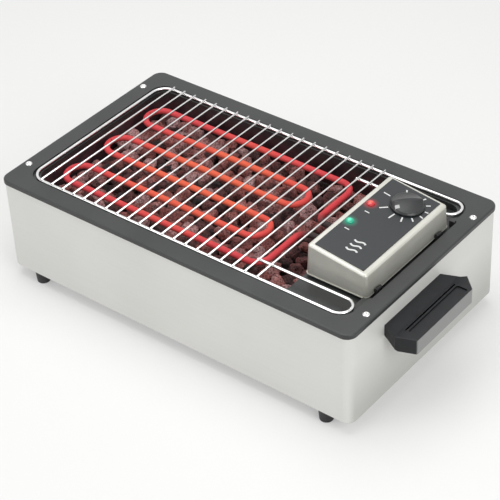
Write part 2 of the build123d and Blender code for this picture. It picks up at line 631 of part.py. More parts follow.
def wire_arc(x, y, radius, start, turns):
    """Eighth turns of the frame wire round an upright axis, from a starting angle."""
    pieces = []
    for step in range(turns):
        eighth = revolve(Plane.XZ * Pos(radius, 0) * Circle(WIRE_RADIUS), Axis.Z, 45)
        pieces.append(Pos(x, y, GRID_Z) * Rot(0, 0, start + 45 * step) * eighth)
    return pieces


# Cooking grid frame: a wire that runs round the pan and turns back in two loops by the box, as
# straight runs and eighth turns, end face to end face
loop = (GRID_Y - LOOP_INNER_Y) / 2
bend_x = GRID_RIGHT - loop
corner_x = GRID_LEFT + GRID_CORNER
corner_y = GRID_Y - GRID_CORNER
frame_wire = [rod_y(GRID_LEFT, -corner_y, corner_y, GRID_Z, WIRE_RADIUS)]
for side in (-1, 1):
    frame_wire.append(rod_x(corner_x, bend_x, side * GRID_Y, GRID_Z, WIRE_RADIUS))
    frame_wire.append(rod_x(LOOP_START_X, bend_x, side * LOOP_INNER_Y, GRID_Z, WIRE_RADIUS))
    frame_wire += wire_arc(bend_x, side * (GRID_Y - loop), loop, -90, 4)
frame_wire += wire_arc(corner_x, corner_y, GRID_CORNER, 90, 2)
frame_wire += wire_arc(corner_x, -corner_y, GRID_CORNER, 180, 2)
save("grid_frame_wire", *frame_wire)

# Cross wires: straight wires welded on top of the frame wire
cross_wires = []
for step in range(CROSS_WIRES):
    x = CROSS_FIRST_X + step * CROSS_PITCH
    wire = rod_y(x, -CROSS_HALF, CROSS_HALF, GRID_Z + WIRE_RADIUS + CROSS_RADIUS, CROSS_RADIUS)
    cross_wires.append(chamfer(wire.edges().filter_by(GeomType.CIRCLE), 0.4))
save("grid_cross_wires", *cross_wires)
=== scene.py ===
import bmesh
import bpy
import json
import math
import random
from mathutils import Matrix, Vector, noise

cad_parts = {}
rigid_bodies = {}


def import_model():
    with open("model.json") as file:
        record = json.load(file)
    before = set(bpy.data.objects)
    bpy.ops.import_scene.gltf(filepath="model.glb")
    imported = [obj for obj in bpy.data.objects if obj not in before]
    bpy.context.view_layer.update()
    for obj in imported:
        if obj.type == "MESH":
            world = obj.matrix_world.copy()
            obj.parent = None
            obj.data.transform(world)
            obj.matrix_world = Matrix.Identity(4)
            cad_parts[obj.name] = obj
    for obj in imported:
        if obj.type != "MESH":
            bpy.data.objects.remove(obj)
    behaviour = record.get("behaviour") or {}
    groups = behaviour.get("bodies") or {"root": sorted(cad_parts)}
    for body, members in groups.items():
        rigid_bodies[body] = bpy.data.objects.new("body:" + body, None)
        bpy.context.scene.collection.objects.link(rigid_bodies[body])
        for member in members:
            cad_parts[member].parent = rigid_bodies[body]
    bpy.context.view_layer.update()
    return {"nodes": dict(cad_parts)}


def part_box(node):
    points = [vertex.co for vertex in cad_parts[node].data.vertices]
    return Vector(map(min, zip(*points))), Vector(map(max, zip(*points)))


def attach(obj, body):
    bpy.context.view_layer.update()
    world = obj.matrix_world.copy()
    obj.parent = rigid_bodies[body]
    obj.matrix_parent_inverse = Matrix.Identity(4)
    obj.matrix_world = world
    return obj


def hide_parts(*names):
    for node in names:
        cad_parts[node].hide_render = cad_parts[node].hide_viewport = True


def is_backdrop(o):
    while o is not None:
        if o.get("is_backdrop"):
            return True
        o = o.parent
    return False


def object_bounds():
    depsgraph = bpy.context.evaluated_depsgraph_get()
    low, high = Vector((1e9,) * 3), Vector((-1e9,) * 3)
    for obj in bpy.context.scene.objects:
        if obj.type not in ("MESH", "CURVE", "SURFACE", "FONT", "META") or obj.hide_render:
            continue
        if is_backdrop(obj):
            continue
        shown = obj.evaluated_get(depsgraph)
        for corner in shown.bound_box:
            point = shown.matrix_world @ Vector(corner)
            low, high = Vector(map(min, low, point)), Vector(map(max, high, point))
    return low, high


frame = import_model()

# Camera. The photograph looks down at the front and the box end of the grill, slightly rolled.
# The values come from a fit to the straight edges of the casing.
CAMERA_AT = (1.12696, -1.34823, 1.39748)
CAMERA_AZIMUTH = math.radians(39.793)
CAMERA_ELEVATION = math.radians(37.303)
CAMERA_ROLL = math.radians(-2.944)
CAMERA_LENS = 127.15
CAMERA_SHIFT_Y = -0.002
camera_data = bpy.data.cameras.new("camera")
camera_data.lens = CAMERA_LENS
camera_data.sensor_width = 36.0
camera_data.shift_y = CAMERA_SHIFT_Y
camera = bpy.data.objects.new("camera", camera_data)
bpy.context.scene.collection.objects.link(camera)
back = Vector((
    math.sin(CAMERA_AZIMUTH) * math.cos(CAMERA_ELEVATION),
    -math.cos(CAMERA_AZIMUTH) * math.cos(CAMERA_ELEVATION),
    math.sin(CAMERA_ELEVATION)))
right = (-back).cross(Vector((0, 0, 1))).normalized()
up = right.cross(-back)
tilted_right = right * math.cos(CAMERA_ROLL) + up * math.sin(CAMERA_ROLL)
tilted_up = up * math.cos(CAMERA_ROLL) - right * math.sin(CAMERA_ROLL)
turn = Matrix((tilted_right, tilted_up, back)).transposed()
camera.matrix_world = Matrix.Translation(CAMERA_AT) @ turn.to_4x4()
bpy.context.scene.camera = camera


# Studio. A white table under one wide overhead softbox, with fills from the front left and right.
# The table and the world are white to the camera and in reflections, and plainer as light.
def start_material(name):
    """A new material, with its tree, its shader and the Object coordinates of the piece."""
    material = bpy.data.materials.new(name)
    material.use_nodes = True
    tree = material.node_tree
    place = tree.nodes.new("ShaderNodeTexCoord")
    return material, tree, tree.nodes["Principled BSDF"], place.outputs["Object"]


def calc(tree, first, second, operation="ADD"):
    """One Math node between two sockets, or a socket and a number."""
    node = tree.nodes.new("ShaderNodeMath")
    node.operation = operation
    for socket, value in zip(node.inputs, (first, second)):
        if isinstance(value, (int, float)):
            socket.default_value = value
        else:
            tree.links.new(value, socket)
    return node.outputs[0]


def seen_directly(tree):
    """1 for what the camera, a reflection or glass sees, and 0 for light on a surface."""
    path = tree.nodes.new("ShaderNodeLightPath")
    some = calc(tree, path.outputs["Is Camera Ray"], path.outputs["Is Glossy Ray"], "MAXIMUM")
    return calc(tree, some, path.outputs["Is Transmission Ray"], "MAXIMUM")


WORLD_LIGHT = 0.52
TABLE_LIFT = 0.29
scene = bpy.context.scene
scene.view_settings.view_transform = "Standard"
world = bpy.data.worlds.new("studio")
world.use_nodes = True
scene.world = world
world_tree = world.node_tree
sky = world_tree.nodes["Background"]
sky.inputs["Color"].default_value = (1.0, 1.0, 0.995, 1)
span = world_tree.nodes.new("ShaderNodeMapRange")
span.inputs["To Min"].default_value = WORLD_LIGHT
span.inputs["To Max"].default_value = 1.0
world_tree.links.new(seen_directly(world_tree), span.inputs["Value"])
world_tree.links.new(span.outputs["Result"], sky.inputs["Strength"])

table_white, tree, shader, place = start_material("table_white")
shader.inputs["Base Color"].default_value = (0.60, 0.60, 0.594, 1)
shader.inputs["Roughness"].default_value = 0.9
shader.inputs["Specular IOR Level"].default_value = 0.0
shader.inputs["Emission Color"].default_value = (1, 1, 0.995, 1)
tree.links.new(calc(tree, seen_directly(tree), TABLE_LIFT, "MULTIPLY"), shader.inputs["Emission Strength"])
TABLE_HALF = 4.0
table_mesh = bpy.data.meshes.new("table")
table_mesh.from_pydata(
    [(x * TABLE_HALF, y * TABLE_HALF, 0) for x, y in ((-1, -1), (1, -1), (1, 1), (-1, 1))], [],
    [(0, 1, 2, 3)])
table_mesh.materials.append(table_white)
table = bpy.data.objects.new("table", table_mesh)
scene.collection.objects.link(table)
table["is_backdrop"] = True


def softbox(name, at, target, size, power):
    """A square area light that faces a point."""
    light = bpy.data.lights.new(name, "AREA")
    light.size = size
    light.energy = power
    lamp = bpy.data.objects.new(name, light)
    lamp.location = at
    lamp.rotation_mode = "QUATERNION"
    lamp.rotation_quaternion = (Vector(target) - Vector(at)).to_track_quat("-Z", "Y")
    scene.collection.objects.link(lamp)


softbox("overhead_softbox", (-0.20, 0.10, 1.7), (0, 0, 0.1), 1.4, 14.0)
softbox("front_fill", (-0.9, -1.8, 1.0), (0, 0, 0.1), 1.2, 8.0)
softbox("right_fill", (1.8, -0.6, 1.3), (0.2, 0, 0.1), 1.2, 16.0)


# Rubber feet. Four short tapered feet of black rubber under the corners of the grill, each moulded
# with a recess for the screw that holds it.
def mottle(tree, place, scale, detail=3.0, stretch=(1, 1, 1)):
    """Noise over a surface from 0 to 1, drawn out along an axis where the finish has a direction."""
    mapping = tree.nodes.new("ShaderNodeMapping")
    mapping.inputs["Scale"].default_value = stretch
    texture = tree.nodes.new("ShaderNodeTexNoise")
    texture.inputs["Scale"].default_value = scale
    texture.inputs["Detail"].default_value = detail
    tree.links.new(place, mapping.inputs["Vector"])
    tree.links.new(mapping.outputs["Vector"], texture.inputs["Vector"])
    return texture.outputs["Fac"]


def shades(tree, value, stops):
    """Colours along a value. Each stop is a position and a linear colour."""
    node = tree.nodes.new("ShaderNodeValToRGB")
    ramp = node.color_ramp
    while len(ramp.elements) < len(stops):
        ramp.elements.new(0.5)
    for element, (at, colour) in zip(ramp.elements, stops):
        element.position = at
        element.color = (*colour, 1)
    tree.links.new(value, node.inputs["Fac"])
    return node.outputs["Color"]


def between(tree, value, low, high, start=0.0, end=1.0):
    """A value from start to end, mapped to run from low to high."""
    node = tree.nodes.new("ShaderNodeMapRange")
    for socket, number in zip(node.inputs[1:5], (start, end, low, high)):
        socket.default_value = number
    tree.links.new(value, node.inputs["Value"])
    return node.outputs["Result"]


def relief(tree, shader, height, depth, strength=1.0):
    """Fine relief in the shading: depth is in metres."""
    node = tree.nodes.new("ShaderNodeBump")
    node.inputs["Strength"].default_value = strength
    node.inputs["Distance"].default_value = depth
    tree.links.new(height, node.inputs["Height"])
    tree.links.new(node.outputs["Normal"], shader.inputs["Normal"])


def moulded(name, dark, light, grain, rough):
    """Moulded rubber or plastic: two near shades, an uneven polish and a spark-eroded grain."""
    material, tree, shader, place = start_material(name)
    tree.links.new(
        shades(tree, mottle(tree, place, 90), ((0.3, dark), (0.7, light))), shader.inputs["Base Color"])
    tree.links.new(
        between(tree, mottle(tree, place, 240), rough - 0.06, rough + 0.08), shader.inputs["Roughness"])
    relief(tree, shader, mottle(tree, place, grain, 2.0), 0.00004)
    return material


def add(tree, kind, links=None, **values):
    """One node. links joins its inputs by name to sockets, and values sets its properties."""
    node = tree.nodes.new(kind)
    for name, value in values.items():
        setattr(node, name, value)
    for name, source in (links or {}).items():
        if isinstance(source, bpy.types.NodeSocket):
            tree.links.new(source, node.inputs[name])
        else:
            node.inputs[name].default_value = source
    return node


def finish_nodes(material, *names):
    """Gives CAD nodes their finish."""
    for name in names:
        piece = frame["nodes"][name]
        for slot in piece.material_slots:
            slot.material = material


foot_rubber = moulded("foot_rubber", (0.018, 0.018, 0.018), (0.030, 0.030, 0.031), 2200, 0.62)
finish_nodes(
    foot_rubber, "rubber_foot_front_left", "rubber_foot_front_right",
    "rubber_foot_rear_right", "rubber_foot_rear_left")


# Casing. One stainless sheet wrapped round the grill with rounded corners and brushed lengthwise.
# The end walls are painted a little darker towards the table: painted shade.
def rolled_sheet(name, dark, light, rough, stretch, tone=6.0, metal=0.8):
    """Satin steel sheet: a broad unevenness in tone, and fine brush lines along the sheet."""
    material, tree, shader, place = start_material(name)
    broad = mottle(tree, place, tone, 2.0)
    lines = mottle(tree, place, 900, 2.0, stretch)
    tone_mix = calc(tree, calc(tree, broad, 0.7, "MULTIPLY"), calc(tree, lines, 0.3, "MULTIPLY"))
    tree.links.new(shades(tree, tone_mix, ((0.35, dark), (0.65, light))), shader.inputs["Base Color"])
    shader.inputs["Metallic"].default_value = metal
    tree.links.new(between(tree, lines, rough - 0.05, rough + 0.07), shader.inputs["Roughness"])
    relief(tree, shader, lines, 0.00002, 0.5)
    return material


def reopen(material):
    """The tree, the shader and the coordinates node of a finish that gets more detail."""
    tree = material.node_tree
    return tree, tree.nodes["Principled BSDF"], next(n for n in tree.nodes if n.type == "TEX_COORD")


def squared(tree, value):
    """A value times itself, so that both ends of the grill give the same."""
    return calc(tree, value, value, "MULTIPLY")


def lay_over(tree, shader, factor, colour, blend):
    """Lays a colour over the base colour that the shader has, by a factor."""
    layer = add(tree, "ShaderNodeMix", {"Factor": factor}, data_type="RGBA", blend_type=blend)
    tree.links.new(shader.inputs["Base Color"].links[0].from_socket, layer.inputs["A"])
    layer.inputs["B"].default_value = (*colour, 1)
    tree.links.new(layer.outputs["Result"], shader.inputs["Base Color"])


casing_steel = rolled_sheet(
    "casing_steel", (0.725, 0.725, 0.697), (0.775, 0.775, 0.748), 0.48, (0.02, 1, 1), 6.0, 0.2)
tree, shader, coordinates = reopen(casing_steel)
where = add(tree, "ShaderNodeSeparateXYZ", {"Vector": coordinates.outputs["Object"]})
turned_to = add(tree, "ShaderNodeSeparateXYZ", {"Vector": coordinates.outputs["Normal"]})
# Painted shade: the end walls are darkened in colour towards the table.
on_end_wall = between(tree, squared(tree, turned_to.outputs["X"]), 0.0, 1.0, 0.4, 0.95)
painted_low_mask = between(tree, where.outputs["Z"], 1.0, 0.0, 0.030, 0.105)
lay_over(tree, shader, calc(tree, on_end_wall, painted_low_mask, "MULTIPLY"), (0.74, 0.74, 0.73), "MULTIPLY")
finish_nodes(casing_steel, "casing")

# Bottom plate and heat shield. Dull galvanised sheet, with the flaky pattern that zinc leaves. The
# plate has slots for air and closes the casing, and the shield lies between it and the pan.
galvanised, tree, shader, place = start_material("galvanised")
flakes = tree.nodes.new("ShaderNodeTexVoronoi")
flakes.inputs["Scale"].default_value = 140
tree.links.new(place, flakes.inputs["Vector"])
tree.links.new(
    shades(tree, flakes.outputs["Color"], ((0.2, (0.36, 0.37, 0.38)), (0.8, (0.50, 0.51, 0.52)))),
    shader.inputs["Base Color"])
shader.inputs["Metallic"].default_value = 1.0
tree.links.new(between(tree, mottle(tree, place, 60), 0.38, 0.55), shader.inputs["Roughness"])
finish_nodes(galvanised, "bottom_plate", "heat_shield")

# Screws, nuts, brackets and terminals. Zinc-plated steel, a little yellow and uneven. They hold the
# feet, the rim, the handles, the box and the element, mostly from inside.
zinc, tree, shader, place = start_material("zinc_plated")
tree.links.new(
    shades(tree, mottle(tree, place, 160), ((0.3, (0.50, 0.49, 0.45)), (0.7, (0.62, 0.61, 0.57)))),
    shader.inputs["Base Color"])
shader.inputs["Metallic"].default_value = 1.0
tree.links.new(between(tree, mottle(tree, place, 500), 0.26, 0.42), shader.inputs["Roughness"])
relief(tree, shader, mottle(tree, place, 900), 0.00003)
finish_nodes(
    zinc, "foot_screws", "foot_nuts", "rim_brackets", "rim_nuts", "handle_screws", "cover_screws",
    "regulator_screws", "element_bracket", "element_gland_nuts", "element_terminals", "regulator_shaft")

# Hinge of the control box. Blackened steel sheet and pins: brackets screwed to the pan's shelf, and
# arms spot-welded under the box.
blackened, tree, shader, place = start_material("blackened_steel")
tree.links.new(
    shades(tree, mottle(tree, place, 220), ((0.3, (0.018, 0.018, 0.019)), (0.7, (0.034, 0.034, 0.035)))),
    shader.inputs["Base Color"])
shader.inputs["Metallic"].default_value = 0.4
tree.links.new(between(tree, mottle(tree, place, 500), 0.42, 0.58), shader.inputs["Roughness"])
finish_nodes(blackened, "hinge_brackets", "hinge_pins", "hinge_arms")

# Pan. One pressing in black vitreous enamel, with the slight orange peel that the firing leaves.
# Its lip folds over the casing, and the walls of the well are painted reddish low down: a painted glow from
# the element.
enamel, tree, shader, place = start_material("black_enamel")
specks = mottle(tree, place, 1500, 2.0)
clouds = mottle(tree, place, 14, 3.0)
height = tree.nodes.new("ShaderNodeSeparateXYZ")
tree.links.new(place, height.inputs[0])
# Painted glow: a reddish brown colour laid on the enamel low in the well, standing in for the element's red
# light.
painted_glow = tree.nodes.new("ShaderNodeMix")
painted_glow.data_type = "RGBA"
painted_low_mask = between(tree, height.outputs["Z"], 1.0, 0.0, 0.130, 0.146)
in_well = between(tree, height.outputs["X"], 1.0, 0.0, 0.135, 0.150)
tree.links.new(calc(tree, painted_low_mask, in_well, "MULTIPLY"), painted_glow.inputs["Factor"])
tree.links.new(
    shades(tree, calc(tree, calc(tree, clouds, 0.6, "MULTIPLY"), calc(tree, specks, 0.4, "MULTIPLY")),
           ((0.35, (0.022, 0.024, 0.024)), (0.65, (0.035, 0.038, 0.037)))),
    painted_glow.inputs["A"])
tree.links.new(
    shades(tree, mottle(tree, place, 60, 4.0), ((0.3, (0.030, 0.016, 0.020)), (0.7, (0.085, 0.038, 0.044)))),
    painted_glow.inputs["B"])
tree.links.new(painted_glow.outputs["Result"], shader.inputs["Base Color"])
tree.links.new(between(tree, clouds, 0.30, 0.42), shader.inputs["Roughness"])
relief(tree, shader, mottle(tree, place, 420, 2.0), 0.00005)
finish_nodes(enamel, "enamelled_pan")


# Rim screws. Four polished domed heads with a cross recess, one near each corner of the rim. Their
# nuts pull the rim down on brackets inside the casing.
def node_tree(name):
    """A Geometry Nodes tree that takes a geometry and gives one back."""
    tree = bpy.data.node_groups.new(name, "GeometryNodeTree")
    tree.interface.new_socket("Geometry", in_out="INPUT", socket_type="NodeSocketGeometry")
    tree.interface.new_socket("Geometry", in_out="OUTPUT", socket_type="NodeSocketGeometry")
    return tree


def named_input(tree, name, kind, value):
    """A named input of the tree, with its default."""
    socket = tree.interface.new_socket(name, in_out="INPUT", socket_type=kind)
    if value is not None:
        socket.default_value = value


def grow(name, mesh, tree, body, slot, **values):
    """Runs a node tree on a starting mesh, and fixes its result to a body as a plain mesh."""
    seed = bpy.data.objects.new(name + "_seed", mesh)
    scene.collection.objects.link(seed)
    modifier = seed.modifiers.new("nodes", "NODES")
    modifier.node_group = tree
    for item in tree.interface.items_tree:
        if item.in_out == "INPUT" and item.name in values:
            modifier[item.identifier] = values[item.name]
    bpy.context.view_layer.update()
    graph = bpy.context.evaluated_depsgraph_get()
    result = bpy.data.meshes.new_from_object(seed.evaluated_get(graph))
    seed.modifiers.remove(modifier)
    bpy.data.objects.remove(seed)
    piece = bpy.data.objects.new(name, result)
    scene.collection.objects.link(piece)
    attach(piece, body)
    return piece


def points_mesh(name, points, **numbers):
    """A mesh of loose points. numbers gives a list for each point attribute."""
    mesh = bpy.data.meshes.new(name)
    mesh.from_pydata(points, [], [])
    for label, values in numbers.items():
        layer = mesh.attributes.new(label, "FLOAT", "POINT")
        layer.data.foreach_set("value", values)
    return mesh


def close_tree(tree, geometry, material, smooth=True):
    """Realizes the instances, sets the finish and joins the tree's output."""
    real = add(tree, "GeometryNodeRealizeInstances", {"Geometry": geometry})
    shaded = add(tree, "GeometryNodeSetShadeSmooth", {"Geometry": real.outputs[0], "Shade Smooth": smooth})
    done = add(tree, "GeometryNodeSetMaterial", {"Geometry": shaded.outputs[0], "Material": material})
    add(tree, "NodeGroupOutput", {"Geometry": done.outputs[0]})


def turned_shape(name, profile, sides, cross=0.0, cross_width=0.0, cross_depth=0.0):
    """A solid turned from a profile of (radius, height) points, closed at both poles."""
    shape = bmesh.new()
    rings = []
    for radius, height in profile:
        if radius == 0:
            rings.append([shape.verts.new((0, 0, height))])
            continue
        ring = []
        for step in range(sides):
            angle = 2 * math.pi * step / sides
            x, y = radius * math.cos(angle), radius * math.sin(angle)
            along = max(abs(x), abs(y))
            across = min(abs(x), abs(y))
            sunk = cross_depth if along < cross and across < cross_width else 0.0
            ring.append(shape.verts.new((x, y, height - sunk)))
        rings.append(ring)
    for lower, upper in zip(rings, rings[1:]):
        for step in range(sides):
            following = (step + 1) % sides
            if len(lower) == 1:
                shape.faces.new((lower[0], upper[following], upper[step]))
            elif len(upper) == 1:
                shape.faces.new((lower[step], lower[following], upper[0]))
            else:
                shape.faces.new((lower[step], lower[following], upper[following], upper[step]))
    bmesh.ops.recalc_face_normals(shape, faces=shape.faces)
    mesh = bpy.data.meshes.new(name)
    shape.to_mesh(mesh)
    shape.free()
    return mesh


polished, tree, shader, place = start_material("polished_steel")
tree.links.new(
    shades(tree, mottle(tree, place, 300), ((0.3, (0.70, 0.70, 0.69)), (0.7, (0.80, 0.80, 0.79)))),
    shader.inputs["Base Color"])
shader.inputs["Metallic"].default_value = 1.0
tree.links.new(between(tree, mottle(tree, place, 900), 0.12, 0.22), shader.inputs["Roughness"])

SCREW_HEAD = 0.0045
SCREW_RISE = 0.0028
low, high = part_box("rim_screws")
rim_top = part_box("enamelled_pan")[1].z
head_profile = [(0.0, -0.006), (0.002, -0.006), (0.002, -0.0002), (SCREW_HEAD * 0.98, -0.0002)]
for step in range(11):
    lift = math.radians(step * 8.6)
    head_profile.append((SCREW_HEAD * math.cos(lift), SCREW_RISE * math.sin(lift)))
head_profile += [(0.0004, SCREW_RISE * 0.997), (0.0, SCREW_RISE * 0.997)]
screw_mesh = turned_shape("screw_head", head_profile, 48, 0.0021, 0.00042, 0.0009)
screw_shape = bpy.data.objects.new("screw_shape", screw_mesh)
screw_tree = node_tree("rim_screw_tree")
named_input(screw_tree, "Turn", "NodeSocketFloat", 0.7)
screw_in = add(screw_tree, "NodeGroupInput")
screw_model = add(screw_tree, "GeometryNodeObjectInfo", {"Object": screw_shape})
screw_turn = add(screw_tree, "ShaderNodeCombineXYZ", {"Z": screw_in.outputs["Turn"]})
screw_set = add(screw_tree, "GeometryNodeInstanceOnPoints", {
    "Points": screw_in.outputs["Geometry"], "Instance": screw_model.outputs["Geometry"],
    "Rotation": screw_turn.outputs[0]})
close_tree(screw_tree, screw_set.outputs[0], polished)
screw_x = high.x - SCREW_HEAD
screw_y = high.y - SCREW_HEAD
screw_points = [(x, y, rim_top) for x in (-screw_x, screw_x) for y in (-screw_y, screw_y)]
rim_screws = grow(
    "rim_screw_heads", points_mesh("screw_points", screw_points), screw_tree, "base", "bright_screw",
    Turn=0.7)
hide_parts("rim_screws")

# Handles. Two black heat-proof mouldings screwed to the end walls from inside, dished on top.
# Their outermost face is painted pale grey, lighter than the top: a painted highlight.
handle_plastic = moulded("handle_plastic", (0.003, 0.0035, 0.005), (0.006, 0.007, 0.009), 1600, 0.34)
tree, shader, coordinates = reopen(handle_plastic)
shader.inputs["Specular IOR Level"].default_value = 0.35
where = add(tree, "ShaderNodeSeparateXYZ", {"Vector": coordinates.outputs["Object"]})
turned_to = add(tree, "ShaderNodeSeparateXYZ", {"Vector": coordinates.outputs["Normal"]})
# Painted highlight: pale grey laid over the faces turned outward at the outer end.
outward = between(tree, squared(tree, turned_to.outputs["X"]), 0.0, 1.0, 0.3, 0.9)
outermost = between(tree, squared(tree, where.outputs["X"]), 0.0, 1.0, 0.0930, 0.0945)
lay_over(tree, shader, calc(tree, outward, outermost, "MULTIPLY"), (0.27, 0.275, 0.27), "MIX")
finish_nodes(handle_plastic, "handle_right", "handle_left")


# Lava stones. Broken porous rock, brown to purple grey, heaped loose in the well of the pan: two
# piles side by side, and a layer of larger stones below them, coloured darker as painted shade in their
# gaps.
def broken_rock(name, seed):
    """An angular lump of about unit radius: random flat breaks, worn round and then pitted."""
    rng = random.Random(seed)
    breaks = []
    for _ in range(13):
        toward = Vector((rng.gauss(0, 1), rng.gauss(0, 1), rng.gauss(0, 1))).normalized()
        breaks.append((toward, rng.uniform(0.62, 0.98)))
    shape = bmesh.new()
    bmesh.ops.create_icosphere(shape, subdivisions=4, radius=1.0)
    for vertex in shape.verts:
        ray = vertex.co.normalized()
        reach = 1.15
        for toward, distance in breaks:
            facing = ray.dot(toward)
            if facing > 0.2:
                reach = min(reach, distance / facing)
        spot = ray * 3.0 + Vector((seed * 7.1, 0, 0))
        rough = 0.10 * noise.noise(spot) + 0.05 * noise.noise(spot * 2.7)
        pit = noise.noise(spot * 4.5)
        pores = -0.10 * max(0.0, pit - 0.12) / 0.5
        vertex.co = ray * (reach + rough + pores)
    mesh = bpy.data.meshes.new(name)
    shape.to_mesh(mesh)
    shape.free()
    return mesh


lava, tree, shader, place = start_material("lava_rock")
tint = mottle(tree, place, 45, 2.0)
grit = mottle(tree, place, 420, 4.0)
pores = tree.nodes.new("ShaderNodeTexVoronoi")
pores.inputs["Scale"].default_value = 420
tree.links.new(place, pores.inputs["Vector"])
hollow = between(tree, pores.outputs["Distance"], 0.0, 1.0, 0.12, 0.55)
own_tone = tree.nodes.new("ShaderNodeAttribute")
own_tone.attribute_name = "tone"
half_tint = calc(tree, tint, 0.5, "MULTIPLY")
mixed_tint = calc(tree, half_tint, calc(tree, own_tone.outputs["Fac"], 0.5, "MULTIPLY"))
rock_colour = shades(tree, mixed_tint, (
    (0.24, (0.018, 0.011, 0.012)), (0.40, (0.130, 0.054, 0.052)), (0.55, (0.34, 0.118, 0.104)),
    (0.76, (0.48, 0.32, 0.32))))
# Darker in the pits and lighter between them: painted shade in the pores, with random grain.
pore_shade_and_grain = add(tree, "ShaderNodeMix", data_type="RGBA", blend_type="MULTIPLY")
pore_shade_and_grain.inputs["Factor"].default_value = 1.0
tree.links.new(rock_colour, pore_shade_and_grain.inputs["A"])
tree.links.new(
    shades(
        tree, calc(tree, hollow, grit, "MULTIPLY"), ((0.0, (0.25, 0.22, 0.22)), (0.6, (1.25, 1.2, 1.2)))),
    pore_shade_and_grain.inputs["B"])
tree.links.new(pore_shade_and_grain.outputs["Result"], shader.inputs["Base Color"])
shader.inputs["Roughness"].default_value = 0.9
relief(tree, shader, calc(tree, hollow, grit), 0.0006, 0.9)

stones_low, stones_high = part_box("lava_stones")
stone_tree = node_tree("lava_stone_tree")
named_input(stone_tree, "Size", "NodeSocketFloat", 0.016)
named_input(stone_tree, "Seed", "NodeSocketInt", 1)
named_input(stone_tree, "Tone", "NodeSocketFloat", 1.0)
named_input(stone_tree, "Rocks", "NodeSocketCollection", None)
stone_in = add(stone_tree, "NodeGroupInput")
rock_pick = add(stone_tree, "GeometryNodeCollectionInfo", {"Collection": stone_in.outputs["Rocks"]})
rock_pick.inputs["Separate Children"].default_value = True
rock_pick.inputs["Reset Children"].default_value = True
any_turn = add(stone_tree, "FunctionNodeRandomValue", data_type="FLOAT_VECTOR")
any_turn.inputs["Max"].default_value = (6.283, 6.283, 6.283)
stone_tree.links.new(stone_in.outputs["Seed"], any_turn.inputs["Seed"])
any_size = add(stone_tree, "FunctionNodeRandomValue", data_type="FLOAT")
any_size.inputs[2].default_value = 0.86
any_size.inputs[3].default_value = 1.12
stone_tree.links.new(stone_in.outputs["Seed"], any_size.inputs["Seed"])
real_size = add(stone_tree, "ShaderNodeMath", operation="MULTIPLY")
stone_tree.links.new(any_size.outputs[1], real_size.inputs[0])
stone_tree.links.new(stone_in.outputs["Size"], real_size.inputs[1])
stone_set = add(stone_tree, "GeometryNodeInstanceOnPoints", {
    "Points": stone_in.outputs["Geometry"], "Instance": rock_pick.outputs[0],
    "Rotation": any_turn.outputs["Value"], "Scale": real_size.outputs[0]})
stone_set.inputs["Pick Instance"].default_value = True
any_tone = add(stone_tree, "FunctionNodeRandomValue", data_type="FLOAT")
stone_tree.links.new(stone_in.outputs["Seed"], any_tone.inputs["Seed"])
stone_tone = add(stone_tree, "GeometryNodeStoreNamedAttribute", {
    "Geometry": stone_set.outputs[0], "Name": "tone"}, data_type="FLOAT", domain="INSTANCE")
stone_tree.links.new(stone_in.outputs["Tone"], any_tone.inputs[3])
stone_tree.links.new(any_tone.outputs[1], stone_tone.inputs["Value"])
close_tree(stone_tree, stone_tone.outputs[0], lava)

rocks = bpy.data.collections.new("rocks")
for seed in range(1, 9):
    rocks.objects.link(bpy.data.objects.new("rock_%d" % seed, broken_rock("rock_%d" % seed, seed)))
STONE_RADIUS = 0.0104
STONE_COLUMNS = 20
STONE_ROWS = 12
LOWER_RADIUS = 0.0122
LOWER_COLUMNS = 15
LOWER_ROWS = 9
LAYER_GAP = 0.011
JITTER = 0.003
stone_rng = random.Random(11)


def stone_layer(columns, rows, radius, high, sink):
    """Jittered places for one layer of stones, high being the top of the highest."""
    step_x = (stones_high.x - stones_low.x) / columns
    step_y = (stones_high.y - stones_low.y) / rows
    places = []
    for column in range(columns):
        for row in range(rows):
            x = stones_low.x + (column + 0.5) * step_x + stone_rng.uniform(-JITTER, JITTER)
            y = stones_low.y + (row + 0.5) * step_y + stone_rng.uniform(-JITTER, JITTER)
            places.append((x, y, high - radius * 1.1 - stone_rng.uniform(0, sink)))
    return places


upper_stones = stone_layer(STONE_COLUMNS, STONE_ROWS, STONE_RADIUS, stones_high.z, 0.012)
lower_stones = stone_layer(LOWER_COLUMNS, LOWER_ROWS, LOWER_RADIUS, stones_high.z - LAYER_GAP, 0.003)
stone_piles = (
    ("lava_rocks_left", upper_stones[:len(upper_stones) // 2], STONE_RADIUS, 1.0),
    ("lava_rocks_right", upper_stones[len(upper_stones) // 2:], STONE_RADIUS, 1.0),
    # The lower layer's tone reaches only 0.4, so it is darker: painted shade in the gaps.
    ("lava_rocks_below", lower_stones, LOWER_RADIUS, 0.4))
for number, (pile, places, radius, tone) in enumerate(stone_piles):
    stones = grow(
        pile, points_mesh(pile + "_points", places), stone_tree, "base", "lava_rock",
        Size=radius, Seed=3 + number, Tone=tone, Rocks=rocks)
    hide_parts("lava_stones")


